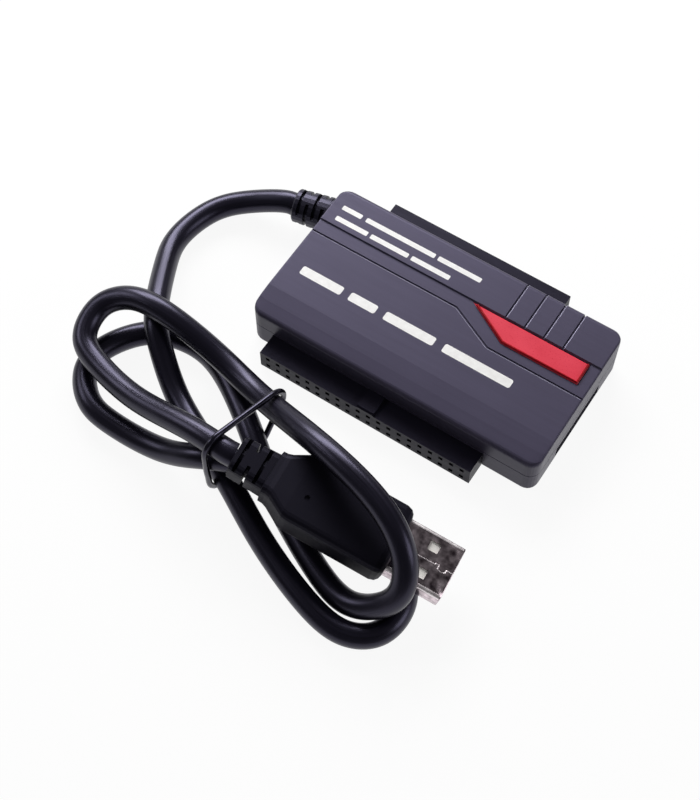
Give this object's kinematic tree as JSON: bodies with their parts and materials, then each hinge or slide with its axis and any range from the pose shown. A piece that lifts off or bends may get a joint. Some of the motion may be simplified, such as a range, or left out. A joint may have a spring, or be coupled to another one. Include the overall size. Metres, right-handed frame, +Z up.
{
  "type": "usb to sata adapter",
  "caption": "Flat dark drive adapter with a wide socket in front, a slim socket behind, a data header at one end, a red window, and a tied cord with a flat plug.",
  "frame": {"origin": "centre of the housing and its sockets in plan, at the housing's underside", "axes": "+X towards the data header, +Y towards the slim socket, +Z up through the window"},
  "size_m": [0.1, 0.0911, 0.0247],
  "materials": {
    "shell_plastic": "satin dark violet-grey moulded plastic",
    "socket_plastic": "matte black glass-filled plastic",
    "window_red": "clear red moulded plastic",
    "board_green": "green solder mask",
    "chip_black": "black epoxy",
    "capacitor_tan": "tan ceramic",
    "lamp_clear": "clear lamp resin",
    "steel": "plated steel",
    "shell_metal": "nickel-plated sheet",
    "gold_plate": "gold-plated brass",
    "cord_rubber": "satin black flexible sheath",
    "plug_rubber": "matte black moulded grip",
    "tie_black": "black plastic-coated wire",
    "tongue_white": "white insulator"
  },
  "bodies": {
    "root": {"upper_shell": "shell_plastic", "lower_shell": "shell_plastic", "indicator_window": "window_red", "wide_socket": "socket_plastic", "slim_socket": "socket_plastic", "data_header": "socket_plastic", "circuit_board": "board_green", "bridge_chip": "chip_black", "memory_chip": "chip_black", "regulator": "chip_black", "crystal_can": "steel", "capacitor_1": "capacitor_tan", "capacitor_2": "capacitor_tan", "capacitor_3": "capacitor_tan", "indicator_lamp_1": "lamp_clear", "indicator_lamp_2": "lamp_clear", "housing_screw_1": "steel", "housing_screw_2": "steel", "cord_relief": "cord_rubber", "cord": "cord_rubber", "cord_tie": "tie_black", "plug_overmould": "plug_rubber", "plug_shell": "shell_metal", "plug_tongue": "tongue_white", "data_contact_1": "gold_plate", "data_contact_2": "gold_plate", "data_contact_3": "gold_plate", "data_contact_4": "gold_plate", "data_contact_5": "gold_plate", "data_contact_6": "gold_plate", "data_contact_7": "gold_plate", "plug_contact_1": "gold_plate", "plug_contact_2": "gold_plate", "plug_contact_3": "gold_plate", "plug_contact_4": "gold_plate"}
  },
  "joints": []
}
